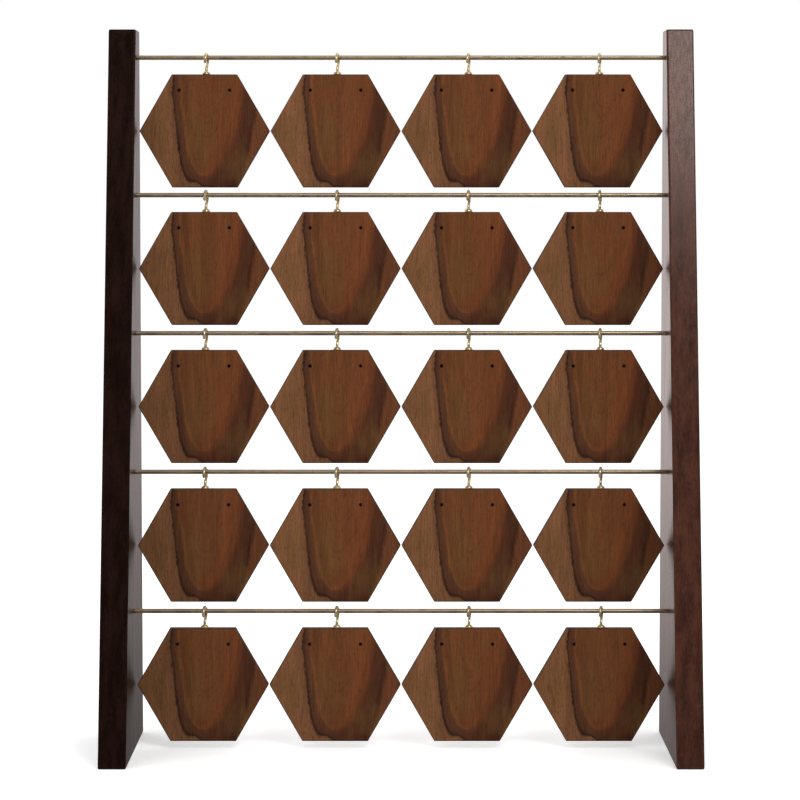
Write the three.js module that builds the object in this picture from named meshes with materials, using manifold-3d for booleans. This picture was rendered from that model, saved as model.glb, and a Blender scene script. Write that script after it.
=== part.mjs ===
// Earring display rack. Two tapered side boards of dark-stained wood carry five round metal rods, and
// twenty hexagonal wooden tags hang from the rods, each on a small brass screw hook, free to swing.
// Millimetres, +Z up, +X to the right, the front towards -Y. The origin is on the floor, at the middle
// of the rack's footprint.
import * as THREE from "three";
import { mergeVertices } from "three/addons/utils/BufferGeometryUtils.js";
import Module from "manifold-3d";

// Side boards: right-angled trapezia, with a plumb back edge and a front edge that leans back.
const RACK_HEIGHT = 396;
const INNER_WIDTH = 293;
const BOARD_THICKNESS = 15;
const BASE_DEPTH = 116;
const TOP_DEPTH = 24.3;
const BOARD_EASING = 0.8;

// Rods: glued into blind sockets, on the line halfway between the boards' front and back edges.
const ROD_COUNT = 5;
const ROD_DIAMETER = 2.5;
const ROD_PITCH = 76.2;
const LOWEST_ROD_HEIGHT = 76;
const SOCKET_DEPTH = 10;

// Tags: regular hexagons with a flat top and bottom.
const TAGS_PER_ROD = 4;
const TAG_SIDE = 36.2;
const TAG_THICKNESS = 6;
const TAG_PITCH = 72.8;
const TAG_EASING = 0.5;
const TAG_DROP = 9.3; // from the rod's axis down to the tag's top edge
const EARRING_HOLE_DIAMETER = 1.5;
const EARRING_HOLE_SPACING = 28;
const EARRING_HOLE_DROP = 8.7; // below the tag's top edge, at the front face
const EARRING_HOLE_SLOPE = 24; // degrees that the holes run down towards the back, so that posts stay in
const PILOT_DIAMETER = 2.2;
const PILOT_DEPTH = 9;

// Screw hooks: a threaded shank below a domed collar, and a wire that bends over the rod.
const WIRE_DIAMETER = 1.6;
const BEND_INNER_RADIUS = 2.6;
const BEND_START = -50; // degrees about the bend's centre, from the back, where the wire joins the bend
const BEND_END = 212; // past the top and down the front, to the open tip
const HOOK_TURN = -10; // degrees that the plane of the wire is turned from square to the rod
const HOOK_OFFSET = 1; // to the right of the middle of the tag's top edge
const SHANK_DIAMETER = 1.6;
const SHANK_LENGTH = 8;
const COLLAR_DIAMETER = 4.5;
const COLLAR_HEIGHT = 1.8;

const GAP = 0.3; // between pieces that touch on the real rack
const ROD_SIDES = 16;
const SMALL_SIDES = 8;

const rodRadius = ROD_DIAMETER / 2;
const wireRadius = WIRE_DIAMETER / 2;
const bendRadius = BEND_INNER_RADIUS + wireRadius;
const bendHeight = rodRadius + GAP - BEND_INNER_RADIUS; // the bend's centre, above the rod's axis
const tagHeight = TAG_SIDE * Math.sqrt(3);

const boardWood = { color: 0x2b1a14, roughness: 0.38, metalness: 0 };
const tagWood = { color: 0x6a3f26, roughness: 0.6, metalness: 0 };
const rodMetal = { color: 0xc2a878, roughness: 0.25, metalness: 1 };
const hookBrass = { color: 0xcaa75c, roughness: 0.3, metalness: 1 };

const wasm = await Module();
wasm.setup();

// A closed geometry as a manifold solid.
function solidOf(geometry) {
  const bare = geometry.clone();
  bare.deleteAttribute("normal");
  bare.deleteAttribute("uv");
  const merged = mergeVertices(bare, 1e-4);
  const vertProperties = new Float32Array(merged.attributes.position.array);
  const triVerts = new Uint32Array(merged.index.array);
  return new wasm.Manifold(new wasm.Mesh({ numProp: 3, vertProperties, triVerts }));
}

// A manifold solid as a geometry, shaded flat.
function geometryOf(solid) {
  const { vertProperties, triVerts } = solid.getMesh();
  const indexed = new THREE.BufferGeometry();
  indexed.setAttribute("position", new THREE.BufferAttribute(new Float32Array(vertProperties), 3));
  indexed.setIndex(new THREE.BufferAttribute(new Uint32Array(triVerts), 1));
  const geometry = indexed.toNonIndexed();
  geometry.computeVertexNormals();
  return geometry;
}

function cut(blank, tools) {
  let solid = solidOf(blank);
  for (const tool of tools) solid = solid.subtract(solidOf(tool));
  return geometryOf(solid);
}

function namedMesh(name, geometry, look) {
  const mesh = new THREE.Mesh(geometry, new THREE.MeshStandardMaterial(look));
  mesh.name = name;
  return mesh;
}

// An outline extruded by thickness with chamfered rims, which stays inside the outline.
function easedPlate(outline, thickness, easing) {
  return new THREE.ExtrudeGeometry(outline, {
    depth: thickness - 2 * easing,
    bevelThickness: easing,
    bevelSize: easing,
    bevelOffset: -easing,
    bevelSegments: 1,
  }).translate(0, 0, easing);
}

// A cylinder along X that starts at x = 0.
function cylinderAlongX(radius, length, sides) {
  return new THREE.CylinderGeometry(radius, radius, length, sides)
    .rotateZ(Math.PI / 2)
    .translate(length / 2, 0, 0);
}

const rodHeight = (row) => LOWEST_ROD_HEIGHT + (ROD_COUNT - row) * ROD_PITCH;

// How far a rod lies in front of (-) or behind (+) the middle of the footprint.
const rodDepth = (height) => ((BASE_DEPTH - TOP_DEPTH) / 2) * (height / RACK_HEIGHT);

// A side board from x = 0 to its thickness, with a blind socket for each rod in its inner face.
function sideBoard(innerFaceIsLeft) {
  const back = BASE_DEPTH / 2;
  const outline = new THREE.Shape([
    new THREE.Vector2(-back, 0),
    new THREE.Vector2(back, 0),
    new THREE.Vector2(back, RACK_HEIGHT),
    new THREE.Vector2(back - TOP_DEPTH, RACK_HEIGHT),
  ]);
  const outlineToBoard = new THREE.Matrix4().makeBasis(
    new THREE.Vector3(0, 1, 0),
    new THREE.Vector3(0, 0, 1),
    new THREE.Vector3(1, 0, 0),
  );
  const blank = easedPlate(outline, BOARD_THICKNESS, BOARD_EASING).applyMatrix4(outlineToBoard);
  const overshoot = 1;
  const socketStart = innerFaceIsLeft ? -overshoot : BOARD_THICKNESS - SOCKET_DEPTH;
  const sockets = [];
  for (let row = 1; row <= ROD_COUNT; row++) {
    const height = rodHeight(row);
    const socket = cylinderAlongX(rodRadius + GAP, SOCKET_DEPTH + overshoot, ROD_SIDES);
    sockets.push(socket.translate(socketStart, rodDepth(height), height));
  }
  return cut(blank, sockets);
}

// A tag about the rod's axis: it hangs below, and its thickness runs along Y.
function tagPlate() {
  const corners = [];
  for (let corner = 0; corner < 6; corner++) {
    const angle = (corner * Math.PI) / 3;
    corners.push(new THREE.Vector2(TAG_SIDE * Math.cos(angle), TAG_SIDE * Math.sin(angle)));
  }
  const blank = easedPlate(new THREE.Shape(corners), TAG_THICKNESS, TAG_EASING)
    .translate(0, 0, -TAG_THICKNESS / 2)
    .rotateX(Math.PI / 2)
    .translate(0, 0, -TAG_DROP - tagHeight / 2);
  const throughLength = 4 * TAG_THICKNESS;
  const holes = [-1, 1].map((side) =>
    new THREE.CylinderGeometry(
      EARRING_HOLE_DIAMETER / 2,
      EARRING_HOLE_DIAMETER / 2,
      throughLength,
      SMALL_SIDES,
    )
      .rotateX(-THREE.MathUtils.degToRad(EARRING_HOLE_SLOPE))
      .translate((side * EARRING_HOLE_SPACING) / 2, -TAG_THICKNESS / 2, -TAG_DROP - EARRING_HOLE_DROP),
  );
  const overshoot = 1;
  const pilot = new THREE.CylinderGeometry(
    PILOT_DIAMETER / 2,
    PILOT_DIAMETER / 2,
    PILOT_DEPTH + overshoot,
    SMALL_SIDES,
  )
    .rotateX(Math.PI / 2)
    .translate(HOOK_OFFSET, 0, -TAG_DROP - (PILOT_DEPTH - overshoot) / 2);
  return cut(blank, [...holes, pilot]);
}

// The shank and collar, turned about Z: the collar's underside is a gap above the tag's top edge.
function hookStem() {
  const shank = SHANK_DIAMETER / 2;
  const seat = GAP - TAG_DROP;
  const tip = -TAG_DROP - SHANK_LENGTH;
  const profile = [
    [0, tip],
    [shank, tip + SHANK_DIAMETER],
    [shank, seat],
    [COLLAR_DIAMETER / 2, seat],
    [COLLAR_DIAMETER / 2, seat + COLLAR_HEIGHT / 4],
    [COLLAR_DIAMETER / 3, seat + COLLAR_HEIGHT * 0.7],
    [wireRadius, seat + COLLAR_HEIGHT],
    [0, seat + COLLAR_HEIGHT],
  ].map(([radius, height]) => new THREE.Vector2(radius, height));
  return new THREE.LatheGeometry(profile, SMALL_SIDES).rotateX(Math.PI / 2);
}

// The wire: up out of the collar, back into the bend, over the rod and down in front of it.
function hookWire() {
  const bottom = GAP - TAG_DROP + COLLAR_HEIGHT / 2;
  const points = [new THREE.Vector3(0, 0, bottom), new THREE.Vector3(0, 0, bottom + WIRE_DIAMETER)];
  const bendSteps = 10;
  for (let step = 0; step <= bendSteps; step++) {
    const degrees = BEND_START + ((BEND_END - BEND_START) * step) / bendSteps;
    const angle = THREE.MathUtils.degToRad(degrees);
    const behind = bendRadius * Math.cos(angle);
    points.push(new THREE.Vector3(0, behind, bendHeight + bendRadius * Math.sin(angle)));
  }
  const section = new THREE.Shape().absarc(0, 0, wireRadius, 0, 2 * Math.PI);
  return new THREE.ExtrudeGeometry(section, {
    extrudePath: new THREE.CatmullRomCurve3(points),
    steps: 16,
    curveSegments: SMALL_SIDES / 2,
  });
}

function screwHook() {
  const turn = THREE.MathUtils.degToRad(HOOK_TURN);
  const hook = geometryOf(solidOf(hookStem()).add(solidOf(hookWire())));
  return hook.rotateZ(turn).translate(HOOK_OFFSET, 0, 0);
}

const rack = new THREE.Group();

const leftBoard = namedMesh("left_side_board", sideBoard(false), boardWood);
leftBoard.position.x = -INNER_WIDTH / 2 - BOARD_THICKNESS;
const rightBoard = namedMesh("right_side_board", sideBoard(true), boardWood);
rightBoard.position.x = INNER_WIDTH / 2;
rack.add(leftBoard, rightBoard);

const rodLength = INNER_WIDTH + 2 * (SOCKET_DEPTH - GAP);
const rodGeometry = cylinderAlongX(rodRadius, rodLength, ROD_SIDES).translate(-rodLength / 2, 0, 0);
const tagGeometry = tagPlate();
const hookGeometry = screwHook();

// Rows are counted from the top, and columns from the left.
for (let row = 1; row <= ROD_COUNT; row++) {
  const rodLine = new THREE.Group();
  rodLine.position.set(0, rodDepth(rodHeight(row)), rodHeight(row));
  rodLine.add(namedMesh(`rod_${row}`, rodGeometry, rodMetal));
  for (let column = 1; column <= TAGS_PER_ROD; column++) {
    const hanger = new THREE.Group();
    hanger.position.x = (column - (TAGS_PER_ROD + 1) / 2) * TAG_PITCH;
    hanger.add(namedMesh(`tag_${row}_${column}`, tagGeometry, tagWood));
    hanger.add(namedMesh(`hook_${row}_${column}`, hookGeometry, hookBrass));
    rodLine.add(hanger);
  }
  rack.add(rodLine);
}

export default rack;
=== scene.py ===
"""The looks of an earring display rack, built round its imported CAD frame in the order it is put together:
side boards, rods, tags, screw hooks. Metres, +Z up, +X to the right, the front towards -Y."""
import math

import bpy
import numpy as np
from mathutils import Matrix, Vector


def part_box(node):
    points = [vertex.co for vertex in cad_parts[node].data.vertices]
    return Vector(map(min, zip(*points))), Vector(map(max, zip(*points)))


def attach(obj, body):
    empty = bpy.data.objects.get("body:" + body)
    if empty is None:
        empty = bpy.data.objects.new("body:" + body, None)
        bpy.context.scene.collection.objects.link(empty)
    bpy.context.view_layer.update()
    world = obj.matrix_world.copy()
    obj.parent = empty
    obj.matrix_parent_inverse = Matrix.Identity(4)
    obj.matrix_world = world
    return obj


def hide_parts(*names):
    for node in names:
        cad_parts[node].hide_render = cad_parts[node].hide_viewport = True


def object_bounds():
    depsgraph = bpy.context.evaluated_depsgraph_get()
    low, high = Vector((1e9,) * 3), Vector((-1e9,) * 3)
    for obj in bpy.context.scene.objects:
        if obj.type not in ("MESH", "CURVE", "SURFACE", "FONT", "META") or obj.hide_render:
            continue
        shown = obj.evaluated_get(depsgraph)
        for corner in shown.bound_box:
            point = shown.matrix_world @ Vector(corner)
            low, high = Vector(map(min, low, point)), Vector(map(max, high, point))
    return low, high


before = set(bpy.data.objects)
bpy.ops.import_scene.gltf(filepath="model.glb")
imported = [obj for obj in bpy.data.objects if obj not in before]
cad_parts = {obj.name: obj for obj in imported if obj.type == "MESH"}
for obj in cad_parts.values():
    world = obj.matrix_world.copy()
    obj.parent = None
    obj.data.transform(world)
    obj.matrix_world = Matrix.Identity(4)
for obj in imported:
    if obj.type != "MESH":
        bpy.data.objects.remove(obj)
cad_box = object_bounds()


# ---- Studio ----
# A long lens looks at the rack square on, a little from above. The sweep under it and the room are white, but
# polished and lacquered surfaces mirror a room that is bright behind the rack and dim in front of it.

lens = bpy.data.cameras.new("long_lens")
lens.lens = 141.75
lens.sensor_width = 36
lens.clip_end = 50
camera = bpy.data.objects.new("camera", lens)
camera.location = (-0.0006, -1.7154, 0.3113)
camera.rotation_euler = (math.radians(90 - 3.94), 0, 0)
bpy.context.collection.objects.link(camera)
bpy.context.scene.camera = camera
bpy.context.scene.view_settings.view_transform = "Standard"


def new_node(tree, kind, inputs=None, **settings):
    """Adds a node, sets its properties, and gives each listed input its value or its link."""
    node = tree.nodes.new(kind)
    for name, value in settings.items():
        setattr(node, name, value)
    for name, value in (inputs or {}).items():
        if isinstance(value, bpy.types.NodeSocket):
            tree.links.new(value, node.inputs[name])
        else:
            node.inputs[name].default_value = value
    return node


def maths(tree, operation, *values):
    return new_node(tree, "ShaderNodeMath", dict(enumerate(values)), operation=operation).outputs[0]


def ramp_between(tree, value, low, high, to_low=0.0, to_high=1.0):
    """Carries value smoothly from to_low at low to to_high at high, and holds it beyond them."""
    inputs = {"Value": value, "From Min": low, "From Max": high, "To Min": to_low, "To Max": to_high}
    return new_node(tree, "ShaderNodeMapRange", inputs, interpolation_type="SMOOTHSTEP").outputs["Result"]


def mixed(tree, factor, first, second):
    """The colour that is first at factor 0 and second at factor 1."""
    inputs = {0: factor, 6: first, 7: second}
    return new_node(tree, "ShaderNodeMix", inputs, data_type="RGBA").outputs[2]


def room_light():
    """White for the camera and an even daylight for matt surfaces. Reflections see it fade forwards and
    downwards, in a faintly rosy white."""
    world = bpy.data.worlds.new("room")
    bpy.context.scene.world = world
    world.use_nodes = True
    tree = world.node_tree
    tree.nodes.clear()
    direction = new_node(tree, "ShaderNodeTexCoord").outputs["Generated"]
    axes = new_node(tree, "ShaderNodeSeparateXYZ", {"Vector": direction}).outputs
    backwards = ramp_between(tree, axes["Y"], -0.12, 0.45, 0.05, 1.0)
    mirrored = maths(tree, "MULTIPLY", backwards, ramp_between(tree, axes["Z"], -0.21, -0.05, 0.15, 1.0))
    rays = new_node(tree, "ShaderNodeLightPath").outputs
    daylight = maths(tree, "MULTIPLY", rays["Is Diffuse Ray"], 0.8)
    strength = maths(tree, "MAXIMUM", maths(tree, "MAXIMUM", mirrored, daylight), rays["Is Camera Ray"])
    colour = mixed(tree, rays["Is Glossy Ray"], (1, 1, 1, 1), (1, 0.88, 0.86, 1))
    light = new_node(tree, "ShaderNodeBackground", {"Color": colour, "Strength": strength})
    new_node(tree, "ShaderNodeOutputWorld", {"Surface": light.outputs[0]})


def soft_box(name, place, size, power, mirrored):
    """A square area light of that size and power, aimed at the middle of the rack. Not every one of them is
    mirrored in the lacquer and the metal."""
    light = bpy.data.lights.new(name, "AREA")
    light.size = size
    light.energy = power
    box = bpy.data.objects.new(name, light)
    middle = (cad_box[0] + cad_box[1]) / 2
    box.location = place
    box.rotation_euler = (middle - box.location).to_track_quat("-Z", "Y").to_euler()
    box.visible_glossy = mirrored
    bpy.context.collection.objects.link(box)


def sweep():
    """The white floor, a flat square far larger than the camera sees, which glows a little so that it stays
    white up to the horizon."""
    half = 9.0
    corners = [(-half, -half, 0), (half, -half, 0), (half, half, 0), (-half, half, 0)]
    mesh = bpy.data.meshes.new("sweep")
    mesh.from_pydata(corners, [], [(0, 1, 2, 3)])
    floor = bpy.data.objects.new("sweep", mesh)
    bpy.context.collection.objects.link(floor)
    paper = bpy.data.materials.new("white_paper")
    paper.use_nodes = True
    tree = paper.node_tree
    shader = tree.nodes["Principled BSDF"]
    place = new_node(tree, "ShaderNodeTexCoord").outputs["Object"]
    mottle = new_node(tree, "ShaderNodeTexNoise", {"Vector": place, "Scale": 2.0, "Detail": 2.0}).outputs[0]
    tree.links.new(ramp_between(tree, mottle, 0.2, 0.8, 0.85, 0.95), shader.inputs["Roughness"])
    shader.inputs["Base Color"].default_value = (0.9, 0.9, 0.9, 1)
    shader.inputs["Specular IOR Level"].default_value = 0.1
    shader.inputs["Emission Color"].default_value = (1, 1, 1, 1)
    shader.inputs["Emission Strength"].default_value = 0.3
    floor.visible_glossy = False
    mesh.materials.append(paper)


room_light()
soft_box("key_box", (0.62, -1.6, 1.72), 0.8, 18, True)
soft_box("fill_box", (-1.3, -1.5, 1.5), 1.2, 8, False)
soft_box("top_box", (0.0, 0.3, 2.0), 1.6, 8, False)
sweep()


# ---- Side boards ----
# Two right-angled trapezia of close-grained hardwood, stained espresso and sprayed with a semi-gloss lacquer.
# The left board's darker stain is painted shade and the right board's lighter, warmer stain is painted light.
# Their arrises are rounded over, and five blind sockets in each inner face take the rods' glued ends.


def eased_outline(corners, radius, steps, marks=()):
    """Centres and outward directions along a convex outline, given anticlockwise. Each corner's centre lies a
    radius inside both its edges, and its directions turn from one edge's normal to the next one's. A mark
    (edge, point) adds one direction on a straight edge. The outline at an inset is centre + (radius - inset)
    * direction. Returns the centres, the directions and each mark's place in them."""
    corners = np.array(corners, float)
    edges = np.roll(corners, -1, axis=0) - corners
    normals = np.stack([edges[:, 1], -edges[:, 0]], axis=1)
    normals /= np.linalg.norm(normals, axis=1, keepdims=True)
    before = np.roll(normals, 1, axis=0)
    start = np.arctan2(before[:, 1], before[:, 0])
    turn = (np.arctan2(normals[:, 1], normals[:, 0]) - start) % math.tau
    angles = start[:, None] + turn[:, None] * np.linspace(0, 1, steps + 1)
    inside = corners - radius * (before + normals) / (1 + (before * normals).sum(axis=1, keepdims=True))
    centres = np.repeat(inside, steps + 1, axis=0)
    directions = np.stack([np.cos(angles), np.sin(angles)], axis=-1).reshape(-1, 2)
    after = [(edge + 1) * (steps + 1) for edge, _ in marks]
    if marks:
        mark_normals = normals[[edge for edge, _ in marks]]
        mark_centres = np.array([point for _, point in marks]) - radius * mark_normals
        centres = np.insert(centres, after, mark_centres, axis=0)
        directions = np.insert(directions, after, mark_normals, axis=0)
    return centres, directions, [place + order for order, place in enumerate(after)]


def rim_profile(thickness, radius, steps, middle=False):
    """Inset and height of each ring of a plate's rim: a quarter round off the near face, straight across, and
    a quarter round on to the far face. A flat ring inside each quarter round keeps the face's shading flat,
    at an inset of 1.25 radii, which is the least that the outline's corners must be rounded."""
    angles = np.linspace(0, math.pi / 2, steps + 1)
    keep_flat = radius * 0.25
    inset = np.concatenate([[radius + keep_flat], radius * (1 - np.sin(angles)), [0]])
    height = np.concatenate([[0], radius * (1 - np.cos(angles)), [radius + keep_flat]])
    halfway = [[0], [thickness / 2]] if middle else [[], []]
    return (
        np.concatenate([inset, halfway[0], inset[::-1]]),
        np.concatenate([height, halfway[1], thickness - height[::-1]]),
    )


def strips(ids):
    """Quads between neighbouring rows of a grid of vertex numbers, whose last column meets its first."""
    after = np.roll(ids, -1, axis=1)
    return np.stack([ids[:-1], after[:-1], after[1:], ids[1:]], axis=-1).reshape(-1, 4)


def split_face(first_side, second_side, holes):
    """Two polygons that share a line through the holes. first_side runs from the line's start to its end, and
    second_side back. Each hole is a clockwise ring that begins at its point nearest the line's end."""
    half = holes.shape[1] // 2
    around = np.concatenate([holes[:, half:], holes[:, :1]], axis=1)
    first = np.concatenate([first_side, holes[::-1, : half + 1].ravel()])
    second = np.concatenate([second_side, around.ravel()])
    return first.tolist(), second.tolist()


def run_of(ring, start, end):
    """The ring's entries from start to end, both included, wrapping round."""
    return np.roll(ring, -start)[: (end - start) % len(ring) + 1]


def drilled_plate(outline, corner, profile, hole_centres, hole_radius, depth, lean=0.0, sides=24):
    """A plate of the outline's shape with a rim of that profile, drilled from its near face along a straight
    line of holes. Holes as deep as the plate go through. Rim point: centre + (corner - inset) * direction at
    the ring's height. Hole point: hole centre + ring radius * (cos, sin) at the ring's depth, and a hole that
    leans moves up by lean * depth and is stretched upwards to match. Returns the points, the faces, the
    rim's vertex numbers by ring, and how round the rim is at each point."""
    centres, directions, (line_start, line_end) = outline
    inset, height = profile
    flat = centres + (corner - inset)[:, None, None] * directions
    rim = np.concatenate([flat, np.broadcast_to(height[:, None, None], flat.shape[:2] + (1,))], axis=-1)
    rim_ids = np.arange(rim[..., 0].size).reshape(rim.shape[:2])
    ease = hole_radius * 0.15
    through = depth >= height[-1]
    ring_radius = hole_radius + np.array([ease, 0, 0, ease * through])
    ring_depth = np.array([0, ease, depth - ease, depth])
    ring_radius[3] = ring_radius[3] if through else hole_radius * 0.6
    line = hole_centres[-1] - hole_centres[0]
    angles = math.atan2(line[1], line[0]) - np.arange(sides) / sides * math.tau
    ellipse = np.stack([np.cos(angles), np.sin(angles) * math.hypot(1, lean)], axis=-1)
    bore_flat = hole_centres[:, None, None] + ring_radius[:, None, None] * ellipse
    bore_flat[..., 1] += lean * ring_depth[:, None]
    bore_deep = np.broadcast_to(ring_depth[:, None, None], bore_flat.shape[:3] + (1,))
    bores = np.concatenate([bore_flat, bore_deep], axis=-1)
    bore_ids = rim_ids.size + np.arange(bores[..., 0].size).reshape(bores.shape[:3])
    faces = strips(rim_ids).tolist()
    for hole in bore_ids:
        faces += strips(hole).tolist()
    near, far = rim_ids[0], rim_ids[-1]
    near_halves = run_of(near, line_start, line_end), run_of(near, line_end, line_start)
    faces += [face[::-1] for face in split_face(*near_halves, bore_ids[:, 0])]
    if through:
        far_halves = run_of(far, line_start, line_end), run_of(far, line_end, line_start)
        faces += split_face(*far_halves, bore_ids[:, -1])
    else:
        faces += [rim_ids[-1].tolist()] + bore_ids[:, -1].tolist()
    turning = (centres == np.roll(centres, 1, axis=0)) & (centres == np.roll(centres, -1, axis=0))
    on_arc = np.zeros(rim_ids.shape)
    on_arc[2:-2] = (inset[2:-2] > 0)[:, None] | turning.all(axis=1)
    roundness = np.concatenate([on_arc.ravel(), np.zeros(bore_ids.size)])
    return np.concatenate([rim.reshape(-1, 3), bores.reshape(-1, 3)]), faces, rim_ids, roundness


def add_piece(name, points, faces, material, body, node, attributes=None):
    """Makes the piece of these points and faces, smooth but for its sharp edges, in place of a CAD node."""
    mesh = bpy.data.meshes.new(name)
    mesh.from_pydata(points.tolist(), [], faces)
    mesh.polygons.foreach_set("use_smooth", np.ones(len(faces), bool))
    mesh.set_sharp_from_angle(angle=math.radians(35))
    for attribute, values in (attributes or {}).items():
        kind, field = ("FLOAT_VECTOR", "vector") if values.ndim == 2 else ("FLOAT", "value")
        mesh.attributes.new(attribute, kind, "POINT").data.foreach_set(field, values.ravel())
    mesh.materials.append(material)
    mesh.validate()
    piece = bpy.data.objects.new(name, mesh)
    bpy.context.collection.objects.link(piece)
    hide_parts(node)
    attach(piece, body)
    return piece


def new_group(name, inputs, outputs):
    """An empty shader node group with these sockets, and its input and output nodes."""
    group = bpy.data.node_groups.new(name, "ShaderNodeTree")
    for socket, kind in inputs.items():
        group.interface.new_socket(socket, in_out="INPUT", socket_type="NodeSocket" + kind)
    for socket, kind in outputs.items():
        group.interface.new_socket(socket, in_out="OUTPUT", socket_type="NodeSocket" + kind)
    return group, group.nodes.new("NodeGroupInput"), group.nodes.new("NodeGroupOutput")


def vector_maths(tree, operation, first, second):
    return new_node(tree, "ShaderNodeVectorMath", {0: first, 1: second}, operation=operation).outputs[0]


def noise(tree, place, stretch, detail=2.0, roughness=0.5):
    """Noise whose features are about as long as stretch, in the units of place, along each axis."""
    scaled = vector_maths(tree, "DIVIDE", place, stretch)
    inputs = {"Vector": scaled, "Scale": 1.0, "Detail": detail, "Roughness": roughness}
    return new_node(tree, "ShaderNodeTexNoise", inputs).outputs[0]


def wood_grain():
    """Group: wood whose fibres run along the third axis of Place, in millimetres. Fibres is fine streaks,
    Bands is broad ones, Pores marks the open vessels, and Relief is the height of the sanded surface."""
    outputs = {"Fibres": "Float", "Bands": "Float", "Pores": "Float", "Relief": "Float"}
    group, given, result = new_group("wood_grain", {"Place": "Vector", "Seed": "Float"}, outputs)
    shift = new_node(group, "ShaderNodeCombineXYZ", {i: given.outputs["Seed"] for i in range(3)}).outputs[0]
    place = vector_maths(group, "ADD", given.outputs["Place"], shift)
    bend = noise(group, place, (40, 40, 70), detail=1.0)
    sway = maths(group, "MULTIPLY", maths(group, "SUBTRACT", bend, 0.5), 7.0)
    lean = new_node(group, "ShaderNodeCombineXYZ", {"X": sway, "Y": sway}).outputs[0]
    wavy = vector_maths(group, "ADD", place, lean)
    fibres = noise(group, wavy, (0.55, 0.55, 16), detail=3.0, roughness=0.65)
    bands = noise(group, wavy, (5, 5, 120), detail=3.0, roughness=0.6)
    vessels = noise(group, wavy, (0.24, 0.24, 3.4), detail=1.0)
    pores = ramp_between(group, vessels, 0.63, 0.73)
    relief = maths(group, "SUBTRACT", maths(group, "MULTIPLY", fibres, 0.35), pores)
    for name, socket in {"Fibres": fibres, "Bands": bands, "Pores": pores, "Relief": relief}.items():
        group.links.new(socket, result.inputs[name])
    return group


def use_group(tree, group, inputs):
    return new_node(tree, "ShaderNodeGroup", inputs, node_tree=group).outputs


def espresso(name, deep, warm, gloss, haze, seed):
    """Stained and lacquered straight-grained hardwood: deep in the pores and dark bands, warm on the light
    fibres, and duller and lighter on the rounded arrises, where the lighter colour is partly stain rubbed
    thin and partly a painted highlight, with the grain just telegraphing through.
    Gloss is the strength of the lacquer's reflection, and haze its least roughness."""
    material = bpy.data.materials.new(name)
    material.use_nodes = True
    tree = material.node_tree
    shader = tree.nodes["Principled BSDF"]
    metres = new_node(tree, "ShaderNodeTexCoord").outputs["Object"]
    place = vector_maths(tree, "MULTIPLY", metres, (1000, 1000, 280))
    grain = use_group(tree, grain_group, {"Place": place, "Seed": seed})
    tone = maths(tree, "MULTIPLY_ADD", grain["Fibres"], 0.45, maths(tree, "MULTIPLY", grain["Bands"], 0.55))
    stained = mixed(tree, ramp_between(tree, tone, 0.36, 0.64), deep, warm)
    filled = mixed(tree, maths(tree, "MULTIPLY", grain["Pores"], 0.5), stained, deep)
    # Lighter colour on the rounded arrises: partly stain rubbed thin, partly a painted highlight along the
    # rounding.
    arris = new_node(tree, "ShaderNodeAttribute", attribute_name="arris").outputs["Fac"]
    patchy = ramp_between(tree, noise(tree, place, (4, 4, 9), detail=4.0), 0.42, 0.62)
    rubbed_and_highlit = maths(tree, "MULTIPLY", maths(tree, "MULTIPLY", arris, patchy), 0.35)
    thin_stain_and_highlight = tuple(1.5 * channel for channel in warm[:3]) + (1,)
    tree.links.new(mixed(tree, rubbed_and_highlit, filled, thin_stain_and_highlight), shader.inputs["Base Color"])
    streaks = noise(tree, place, (1.2, 1.2, 40), detail=3.0, roughness=0.6)
    rough = ramp_between(tree, streaks, 0.35, 0.65, haze, haze + 0.1)
    rough = maths(tree, "MULTIPLY_ADD", grain["Pores"], 0.1, rough)
    rough = maths(tree, "MULTIPLY_ADD", arris, 0.25, rough)
    tree.links.new(rough, shader.inputs["Roughness"])
    bump = new_node(tree, "ShaderNodeBump", {
        "Strength": 0.12, "Distance": 0.00006, "Height": grain["Relief"]})
    tree.links.new(bump.outputs["Normal"], shader.inputs["Normal"])
    shader.inputs["Specular IOR Level"].default_value = gloss
    shader.inputs["Specular Tint"].default_value = (1, 0.78, 0.70, 1)
    shader.inputs["Coat Weight"].default_value = 0.3 * gloss
    shader.inputs["Coat Roughness"].default_value = 0.2
    return material


def side_board(name, node, side, material):
    """One board in the plane of Y and Z. Its thickness runs outwards from the inner face, to the side."""
    low, high = (np.array(corner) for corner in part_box(node))
    thickness = high[0] - low[0]
    inner_face = low[0] if side > 0 else -high[0]
    top_depth, radius, corner, socket_depth = 0.0243, 0.0009, 0.0012, 0.010
    middle = (low[1] + high[1]) / 2
    corners = [(low[1], 0), (high[1], 0), (high[1], high[2]), (high[1] - top_depth, high[2])]
    rod_boxes = np.array([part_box(f"rod_{row}") for row in range(5, 0, -1)])
    rods = rod_boxes.mean(axis=1)[:, 1:]
    hole_radius = np.ptp(rod_boxes[0, :, 2]) / 2 + 0.00005
    marks = [(0, (middle, 0)), (2, (high[1] - top_depth / 2, high[2]))]
    outline = eased_outline(corners, corner, 5, marks)
    profile = rim_profile(thickness, radius, 5)
    points, faces, _, arris = drilled_plate(outline, corner, profile, rods, hole_radius, socket_depth)
    across = side * (inner_face + points[:, 2])
    placed = np.stack([across, points[:, 0], points[:, 1]], axis=1)
    faces = faces if side > 0 else [face[::-1] for face in faces]
    add_piece(name, placed, faces, material, "frame", node, {"arris": arris})


grain_group = wood_grain()
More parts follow.
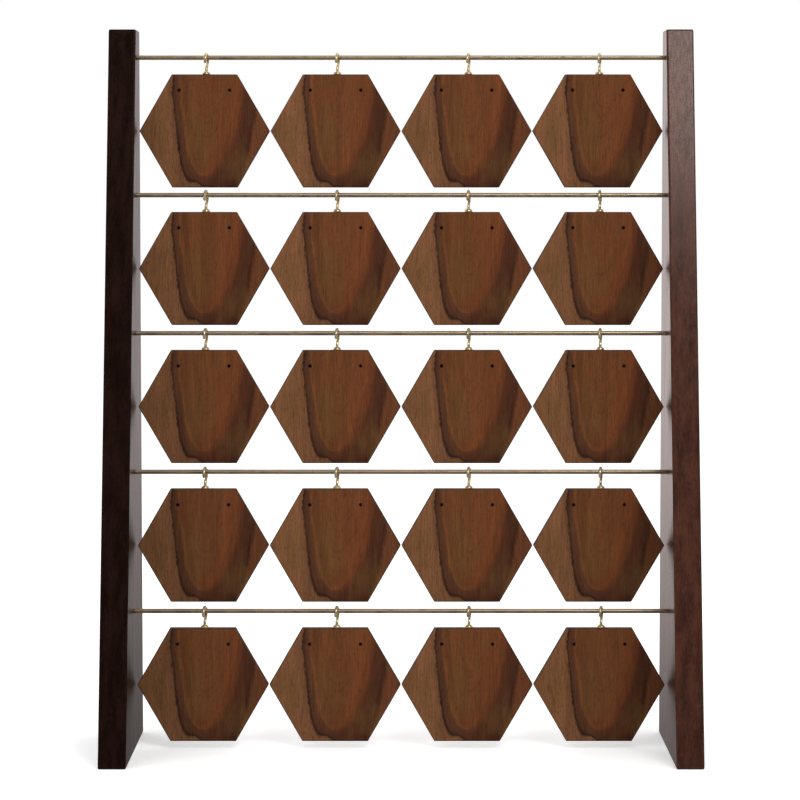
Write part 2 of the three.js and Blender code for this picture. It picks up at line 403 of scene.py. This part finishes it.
# Lit and shaded copies of one espresso stain: the left board's near-black colour is painted shade, and the
# right board's warmer, lighter colour is painted light.
painted_shade_stain = espresso(
    "espresso_painted_shade", deep=(0.0045, 0.0016, 0.0011, 1), warm=(0.013, 0.0048, 0.0032, 1), gloss=0.08, haze=0.26,
    seed=3.0)
painted_light_stain = espresso(
    "espresso_painted_light", deep=(0.026, 0.0090, 0.0056, 1), warm=(0.062, 0.0205, 0.0115, 1), gloss=0.31, haze=0.19,
    seed=71.0)
side_board("board_left", "left_side_board", -1, painted_shade_stain)
side_board("board_right", "right_side_board", 1, painted_light_stain)


# ---- Rods ----
# Five straight lengths of 2.5 mm brass-toned rod, cut, chamfered and polished along their length.


def swept_tube(centres, normals, binormal, radii):
    """A closed tube of one grid: point = centre + radius * (cos * normal + sin * binormal), with one row for
    each centre and one column for each angle. radii holds the radius of every point of the grid. Its first
    and last rows are closed by a polygon."""
    angles = np.arange(radii.shape[1]) / radii.shape[1] * math.tau
    around = np.cos(angles)[:, None] * normals[:, None] + np.sin(angles)[:, None] * binormal
    points = centres[:, None] + radii[..., None] * around
    ids = np.arange(radii.size).reshape(radii.shape)
    faces = strips(ids).tolist() + [ids[0, ::-1].tolist(), ids[-1].tolist()]
    return points.reshape(-1, 3), faces


def polished_brass(name, bright, aged, along, dullness, seed):
    """Polished brass-toned metal: hairlines from polishing, along mm long on each axis, and thin patches of
    tarnish, where the oxide is duller and less of a metal. Dullness is the least roughness."""
    material = bpy.data.materials.new(name)
    material.use_nodes = True
    tree = material.node_tree
    shader = tree.nodes["Principled BSDF"]
    metres = new_node(tree, "ShaderNodeTexCoord").outputs["Object"]
    place = vector_maths(tree, "ADD", vector_maths(tree, "MULTIPLY", metres, (1000, 1000, 1000)), (seed,) * 3)
    hairlines = noise(tree, place, along, detail=3.0, roughness=0.7)
    patches = noise(tree, place, (9, 5, 5), detail=4.0, roughness=0.6)
    tarnish = ramp_between(tree, patches, 0.48, 0.72)
    tree.links.new(mixed(tree, tarnish, bright, aged), shader.inputs["Base Color"])
    rough = ramp_between(tree, hairlines, 0.3, 0.7, dullness, dullness + 0.1)
    rough = maths(tree, "MULTIPLY_ADD", tarnish, 0.12, rough)
    tree.links.new(rough, shader.inputs["Roughness"])
    metal_share = ramp_between(tree, patches, 0.30, 0.70, 0.90, 0.68)
    tree.links.new(metal_share, shader.inputs["Metallic"])
    bump = new_node(tree, "ShaderNodeBump", {"Strength": 0.15, "Distance": 0.00003, "Height": hairlines})
    tree.links.new(bump.outputs["Normal"], shader.inputs["Normal"])
    return material


def rod(row, material):
    """One rod along X: a tube with a chamfer at each end."""
    low, high = (np.array(corner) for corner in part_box(f"rod_{row}"))
    radius, chamfer = (high[2] - low[2]) / 2, 0.0003
    between = np.linspace(low[0] + 0.01, high[0] - 0.01, 40)
    stations = np.concatenate([[low[0], low[0] + chamfer], between, [high[0] - chamfer, high[0]]])
    centres = np.zeros((len(stations), 3))
    centres[:, 0] = stations
    centres[:, 1:] = (low[1:] + high[1:]) / 2
    radii = np.full((len(stations), 32), radius)
    radii[[0, -1]] -= chamfer
    normals = np.tile([0.0, 1.0, 0.0], (len(stations), 1))
    points, faces = swept_tube(centres, normals, np.array([0.0, 0.0, 1.0]), radii)
    add_piece(f"metal_rod_{row}", points, faces, material, "frame", f"rod_{row}")


rod_metal = polished_brass(
    "rod_brass", bright=(0.52, 0.39, 0.25, 1), aged=(0.31, 0.21, 0.12, 1), along=(40, 0.5, 0.5),
    dullness=0.32, seed=11.0)
for row in range(1, 6):
    rod(row, rod_metal)


# ---- Tags ----
# Hexagons burnt out of one flat-sawn walnut board, 6 mm thick, which leaves their edges scorched, then sanded
# and oiled. Two small holes, sloping down to the back, take a pair of earrings, and a pilot hole in the top
# edge takes the screw hook.

TAG_SIDE = 0.0362
TAG_DROP = 0.0093
TAG_HALF_HEIGHT = TAG_SIDE * math.sqrt(3) / 2
TAG_THICKNESS = 0.006
EARRING_HOLE_SPACING = 0.028
EARRING_HOLE_DROP = 0.0087
EARRING_HOLE_LEAN = math.tan(math.radians(24))
HOOK_OFFSET = 0.001


def tag_plate():
    """Points, faces and scorching of a tag about the rod's axis, with X to the right and Z up. The plate is
    laid out from its back face forwards. Scorching rises round the arris, from the faces to the edges."""
    radius, corner, hole_radius = 0.0005, 0.0007, 0.00075
    angles = np.arange(6) * math.pi / 3
    corners = TAG_SIDE * np.stack([np.cos(angles), np.sin(angles)], axis=1)
    hole_height = TAG_HALF_HEIGHT - EARRING_HOLE_DROP
    line_half = TAG_SIDE - hole_height / math.sqrt(3)
    marks = [(0, (line_half, hole_height)), (2, (-line_half, hole_height))]
    centres, directions, (right, left) = eased_outline(corners, corner, 4, marks)
    profile = rim_profile(TAG_THICKNESS, radius, 4, middle=True)
    back_height = hole_height - TAG_THICKNESS * EARRING_HOLE_LEAN
    holes = np.array([(side * EARRING_HOLE_SPACING / 2, back_height) for side in (-1, 1)])
    sides = 20
    outline = (centres, directions, (left, right))
    points, faces, rim_ids, _ = drilled_plate(
        outline, corner, profile, holes, hole_radius, TAG_THICKNESS, EARRING_HOLE_LEAN, sides)
    rim_scorch = np.repeat(np.clip(1 - profile[0] / radius, 0, 1), rim_ids.shape[1])
    bore_scorch = np.tile(np.repeat([0.0, 1.0, 1.0, 0.0], sides), len(holes))
    points, faces = with_pilot_hole(points, faces, rim_ids)
    scorch = np.ones(len(points))
    scorch[: rim_scorch.size + bore_scorch.size] = np.concatenate([rim_scorch, bore_scorch])
    placed = [points[:, 0], TAG_THICKNESS / 2 - points[:, 2], points[:, 1] - TAG_DROP - TAG_HALF_HEIGHT]
    return np.stack(placed, axis=1), faces, scorch


def with_pilot_hole(points, faces, rim_ids):
    """Replaces the two quads of the top edge's flat by two polygons round a blind hole. Hole point: radius *
    (cos, sin) in the plane of the edge, at the ring's depth."""
    pilot_radius, pilot_depth, sides = 0.0010, 0.009, 16
    middle_ring = rim_ids.shape[0] // 2
    top = points[rim_ids[middle_ring], 1]
    right_end, left_end = np.flatnonzero(np.isclose(top, top.max()))[[0, -1]]
    near, middle, far = rim_ids[middle_ring - 1 : middle_ring + 2][:, [right_end, left_end]].tolist()
    replaced = [sorted(near + middle), sorted(middle + far)]
    faces = [face for face in faces if sorted(face) not in replaced]
    angles = np.arange(sides) / sides * math.tau
    across = HOOK_OFFSET + pilot_radius * np.cos(angles)
    height = top.max() - np.array([0, pilot_depth])[:, None]
    forwards = TAG_THICKNESS / 2 + pilot_radius * np.sin(angles)
    ring = np.stack(np.broadcast_arrays(across, height, forwards), axis=-1)
    ids = len(points) + np.arange(2 * sides).reshape(2, sides)
    far_side = [middle[1], far[1], far[0], middle[0]]
    near_side = [middle[0], near[0], near[1], middle[1]]
    faces += split_face(far_side, near_side, ids[:1])
    faces += strips(ids)[:, ::-1].tolist() + [ids[1, ::-1].tolist()]
    return np.concatenate([points, ring.reshape(-1, 3)]), faces


def colour_ramp(tree, value, stops):
    """A colour ramp with (position, colour) stops."""
    node = new_node(tree, "ShaderNodeValToRGB", {"Fac": value})
    elements = node.color_ramp.elements
    while len(elements) < len(stops):
        elements.new(0.5)
    for element, (position, colour) in zip(elements, stops):
        element.position = position
        element.color = colour
    return node.outputs["Color"]


def distance(tree, first, second):
    """The length of a vector with these two parts."""
    squares = maths(tree, "MULTIPLY_ADD", first, first, maths(tree, "MULTIPLY", second, second))
    return maths(tree, "SQRT", squares)


def oiled_walnut():
    """Flat-sawn walnut. The growth rings cut the face in nested U shapes: ring = the length of (across /
    half-width, down from the top / 53 mm), where the half-width is 15.8 mm on the left and 18 on the right.
    Inside the first U the wood is warm and flecked, a dark band follows the ring, narrow on the left and
    wide on the right, and beyond it the wood is lighter again."""
    material = bpy.data.materials.new("oiled_walnut")
    material.use_nodes = True
    tree = material.node_tree
    shader = tree.nodes["Principled BSDF"]
    place = new_node(tree, "ShaderNodeAttribute", attribute_name="tag_place").outputs["Vector"]
    seed = new_node(tree, "ShaderNodeAttribute", attribute_name="tag_seed").outputs["Fac"]
    grain = use_group(tree, grain_group, {"Place": place, "Seed": seed})
    axes = new_node(tree, "ShaderNodeSeparateXYZ", {"Vector": place}).outputs

    warp = maths(tree, "SUBTRACT", noise(tree, place, (9, 9, 22), detail=4.0, roughness=0.55), 0.5)
    jag = maths(tree, "SUBTRACT", noise(tree, place, (1.1, 1.1, 2.4), detail=2.0), 0.5)
    axis_of_rings = maths(tree, "MULTIPLY_ADD", axes["Z"], 0.07, 1.7)
    across = maths(tree, "SUBTRACT", axes["X"], axis_of_rings)
    rightness = ramp_between(tree, across, -5.0, 7.0)
    outwards = ramp_between(tree, axes["Z"], 0.0, 28.0, 0.0, 1.6)
    across = maths(tree, "MULTIPLY_ADD", maths(tree, "SUBTRACT", 1.0, rightness), outwards, across)
    across = maths(tree, "MULTIPLY_ADD", warp, 4.0, across)
    across = maths(tree, "MULTIPLY_ADD", jag, 2.0, across)
    half_width = maths(tree, "MULTIPLY_ADD", rightness, 2.2, 15.8)
    across_share = maths(tree, "DIVIDE", across, half_width)
    down = maths(tree, "MAXIMUM", maths(tree, "SUBTRACT", 27.5, axes["Z"]), 0.0)
    down_share = maths(tree, "DIVIDE", down, 53.0)
    ring = distance(tree, across_share, down_share)
    side_width = maths(tree, "MULTIPLY_ADD", rightness, 0.19, 0.22)
    sideways = ramp_between(tree, maths(tree, "ABSOLUTE", across), 3.0, 12.0, 0.35, 1.0)
    band_width = maths(tree, "MULTIPLY", side_width, sideways)
    band = maths(tree, "DIVIDE", maths(tree, "SUBTRACT", ring, 1.0), band_width)
    along_band = maths(tree, "MULTIPLY_ADD", band, 0.25, 0.5)

    left = colour_ramp(tree, along_band, [
        (0.00, (0.110, 0.035, 0.0105, 1)),
        (0.33, (0.092, 0.029, 0.0085, 1)),
        (0.46, (0.122, 0.040, 0.0110, 1)),
        (0.52, (0.074, 0.025, 0.0100, 1)),
        (0.68, (0.064, 0.022, 0.0100, 1)),
        (0.745, (0.021, 0.008, 0.0040, 1)),
        (0.79, (0.122, 0.050, 0.0205, 1)),
        (1.00, (0.150, 0.062, 0.0260, 1)),
    ])
    right = colour_ramp(tree, along_band, [
        (0.00, (0.114, 0.035, 0.0105, 1)),
        (0.40, (0.120, 0.034, 0.0095, 1)),
        (0.49, (0.096, 0.026, 0.0080, 1)),
        (0.55, (0.062, 0.018, 0.0062, 1)),
        (0.64, (0.056, 0.016, 0.0060, 1)),
        (0.73, (0.044, 0.012, 0.0050, 1)),
        (0.775, (0.036, 0.009, 0.0042, 1)),
        (0.84, (0.096, 0.030, 0.0105, 1)),
    ])
    figure = mixed(tree, rightness, left, right)

    along_ring = {"X": maths(tree, "MULTIPLY", ring, 60.0), "Y": axes["Y"],
                  "Z": maths(tree, "MULTIPLY", axes["Z"], 0.06)}
    lines_place = new_node(tree, "ShaderNodeCombineXYZ", along_ring).outputs[0]
    lines = new_node(tree, "ShaderNodeTexNoise", {
        "Vector": lines_place, "Scale": 0.9, "Detail": 3.0, "Roughness": 0.6}).outputs[0]
    lined = mixed(tree, ramp_between(tree, lines, 0.50, 0.72, 0.0, 0.45), figure, (0.036, 0.013, 0.006, 1))
    cloud = noise(tree, vector_maths(tree, "ADD", place, (40, 0, 7)), (11, 11, 26), detail=3.0)
    golden = mixed(tree, ramp_between(tree, cloud, 0.45, 0.72, 0.0, 0.5), lined, (0.095, 0.046, 0.013, 1))
    tone = maths(tree, "MULTIPLY_ADD", grain["Fibres"], 0.6, maths(tree, "MULTIPLY", grain["Bands"], 0.4))
    light = ramp_between(tree, tone, 0.30, 0.70, 0.72, 1.22)
    shaded = new_node(tree, "ShaderNodeVectorMath", {0: golden, "Scale": light}, operation="SCALE").outputs[0]
    pored = mixed(tree, maths(tree, "MULTIPLY", grain["Pores"], 0.6), shaded, (0.022, 0.010, 0.006, 1))
    flecks = ramp_between(tree, noise(tree, place, (1.6, 1.6, 2.6), detail=3.0, roughness=0.7), 0.60, 0.72)
    flecked = mixed(tree, maths(tree, "MULTIPLY", flecks, 0.55), pored, (0.045, 0.017, 0.008, 1))

    # Painted shade: a near-black ring on the face round the mouth of each earring hole, out to 1.2 mm from
    # its centre, so that the holes read dark.
    front_height = 1000 * (TAG_HALF_HEIGHT - EARRING_HOLE_DROP)
    behind_front = maths(tree, "ADD", axes["Y"], 500 * TAG_THICKNESS)
    hole_x = maths(tree, "SUBTRACT", maths(tree, "ABSOLUTE", axes["X"]), 500 * EARRING_HOLE_SPACING)
    along_hole = maths(tree, "MULTIPLY_ADD", behind_front, EARRING_HOLE_LEAN, axes["Z"])
    from_hole = distance(tree, hole_x, maths(tree, "SUBTRACT", along_hole, front_height))
    painted_hole_shade = (0.010, 0.0045, 0.003, 1)
    hole_shaded = mixed(tree, ramp_between(tree, from_hole, 0.75, 1.2, 0.9, 0.0), flecked, painted_hole_shade)
    scorch = new_node(tree, "ShaderNodeAttribute", attribute_name="scorch").outputs["Fac"]
    patchy = ramp_between(tree, noise(tree, place, (2, 2, 5), detail=4.0), 0.35, 0.65, 0.65, 1.0)
    toasted = mixed(tree, maths(tree, "MULTIPLY", scorch, patchy), hole_shaded, (0.022, 0.012, 0.008, 1))
    tree.links.new(toasted, shader.inputs["Base Color"])

    rough = maths(tree, "SUBTRACT", 0.62, maths(tree, "MULTIPLY", grain["Fibres"], 0.16))
    rough = maths(tree, "MULTIPLY_ADD", grain["Pores"], 0.15, rough)
    tree.links.new(rough, shader.inputs["Roughness"])
    bump = new_node(tree, "ShaderNodeBump", {
        "Strength": 0.4, "Distance": 0.00008, "Height": grain["Relief"]})
    tree.links.new(bump.outputs["Normal"], shader.inputs["Normal"])
    shader.inputs["Specular IOR Level"].default_value = 0.12
    shader.inputs["Specular Tint"].default_value = (1, 0.85, 0.7, 1)
    return material


def tag(row, column, plate, material):
    """A tag below its rod. Its own place, in millimetres from its middle, carries the figure of the wood."""
    points, faces, scorch = plate
    name = f"tag_{row}_{column}"
    low, high = (np.array(corner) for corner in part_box(name))
    rod_axis = np.array([(low[0] + high[0]) / 2, (low[1] + high[1]) / 2, high[2] + TAG_DROP])
    place = 1000 * (points + [0, 0, TAG_DROP + TAG_HALF_HEIGHT])
    seed = np.full(len(points), 5.3 * column + 29.0 * row)
    attributes = {"scorch": scorch, "tag_place": place, "tag_seed": seed}
    body = f"hanger_{row}_{column}"
    add_piece(f"walnut_{name}", points + rod_axis, faces, material, body, name, attributes)


plate = tag_plate()
walnut = oiled_walnut()
for row in range(1, 6):
    for column in range(1, 5):
        tag(row, column, plate, walnut)


# ---- Screw hooks ----
# Mini brass cup hooks: one wire, threaded at its lower end, pressed into a domed collar and bent round into
# an open hook. The thread is driven into the tag's top edge until the collar sits on the wood.


def hook_path():
    """Centres, tangents and radii of a hook about the rod's axis, in its own plane. The centre line goes
    straight up the shank, along a cubic Bezier curve back to the bend, and round an arc over the rod to the
    open tip. The shank's radius is its core plus a ridge where phase = height / pitch - angle is near a
    half, and the collar's profile is a bell: radius = wire + (collar - wire) * cosine ^ 1.6."""
    wire, bend_inner, rod_radius = 0.0008, 0.0026, 0.00125
    pitch, core, ridge = 0.0007, 0.00066, 0.00028
    collar_radius, collar_height = 0.00225, 0.0018
    clearance = 0.00003
    seat = -TAG_DROP + clearance
    tip = seat - 0.0078
    columns = 20
    angle_share = np.arange(columns) / columns

    thread_end, point_length, run_out = seat - 0.0004, 0.0016, 0.0006
    thread_heights = np.linspace(tip, thread_end, 68)
    from_tip = (thread_heights - tip) / point_length
    fade = np.clip(from_tip, 0, 1) * np.clip((thread_end - thread_heights) / run_out, 0, 1)
    phase = (thread_heights[:, None] / pitch - angle_share) % 1
    crest = np.clip(1 - np.abs(phase - 0.5) * 3.2, 0, 1)
    point = np.clip(from_tip, 0.04, 1) ** 0.7
    thread_radii = core * point[:, None] + ridge * crest * fade[:, None]

    sweep_angles = np.linspace(0, math.pi / 2, 8)
    dome_radii = wire + (collar_radius - wire) * np.cos(sweep_angles).clip(0) ** 1.6
    dome_heights = seat + collar_height * (0.25 + 0.75 * np.sin(sweep_angles))
    collar_radii = np.concatenate([[wire, wire, collar_radius - 0.0001, collar_radius], dome_radii])
    collar_heights = np.concatenate([[seat - 0.0003, seat, seat, seat + 0.0001], dome_heights])

    bend_radius = bend_inner + wire
    bend_height = rod_radius + clearance - bend_inner
    bend = np.radians(np.linspace(-50, 212, 58))
    arc = np.stack([bend_radius * np.cos(bend), bend_height + bend_radius * np.sin(bend)], axis=1)
    start = np.array([0.0, seat + collar_height])
    leave = np.array([-math.sin(bend[0]), math.cos(bend[0])])
    share = np.linspace(0, 1, 20)[:-1, None]
    reach = np.linalg.norm(arc[0] - start) * 1.1
    first_pull, last_pull = start + [0, reach * 0.42], arc[0] - leave * reach * 0.36
    blend = ((1 - share) ** 3 * start + 3 * (1 - share) ** 2 * share * first_pull
             + 3 * (1 - share) * share**2 * last_pull + share**3 * arc[0])
    wire_line = np.concatenate([blend[1:], arc])

    straight = np.concatenate([thread_heights, collar_heights])
    line = np.concatenate([np.stack([np.zeros(len(straight)), straight], axis=1), wire_line])
    wire_radii = np.full(len(wire_line), wire)
    wire_radii[-4:] = wire * np.array([0.97, 0.85, 0.6, 0.2])
    round_radii = np.concatenate([collar_radii, wire_radii])
    radii = np.concatenate([thread_radii, np.repeat(round_radii[:, None], columns, axis=1)])
    tangents = np.concatenate([np.tile([0.0, 1.0], (len(straight), 1)), np.gradient(wire_line, axis=0)])
    tangents /= np.linalg.norm(tangents, axis=1, keepdims=True)
    return line, tangents, radii


def hook_shape():
    """The hook's path swept in its plane, which is turned a little from square to the rod."""
    line, tangents, radii = hook_path()
    turn = math.radians(-10)
    backwards = np.array([-math.sin(turn), math.cos(turn), 0.0])
    sideways = np.array([math.cos(turn), math.sin(turn), 0.0])
    upwards = np.array([0.0, 0.0, 1.0])
    centres = line[:, :1] * backwards + line[:, 1:] * upwards
    normals = tangents[:, 1:] * backwards - tangents[:, :1] * upwards
    points, faces = swept_tube(centres, normals, sideways, radii)
    return points, [face[::-1] for face in faces]


def screw_hook(row, column, shape, material):
    points, faces = shape
    name = f"hook_{row}_{column}"
    low, high = (np.array(corner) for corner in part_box(f"tag_{row}_{column}"))
    place = np.array([(low[0] + high[0]) / 2 + HOOK_OFFSET, (low[1] + high[1]) / 2, high[2] + TAG_DROP])
    add_piece(f"brass_{name}", points + place, faces, material, f"hanger_{row}_{column}", name)


hook = hook_shape()
hook_metal = polished_brass(
    "hook_brass", bright=(0.85, 0.72, 0.44, 1), aged=(0.55, 0.43, 0.23, 1), along=(2, 2, 2),
    dullness=0.22, seed=57.0)
for row in range(1, 6):
    for column in range(1, 5):
        screw_hook(row, column, hook, hook_metal)
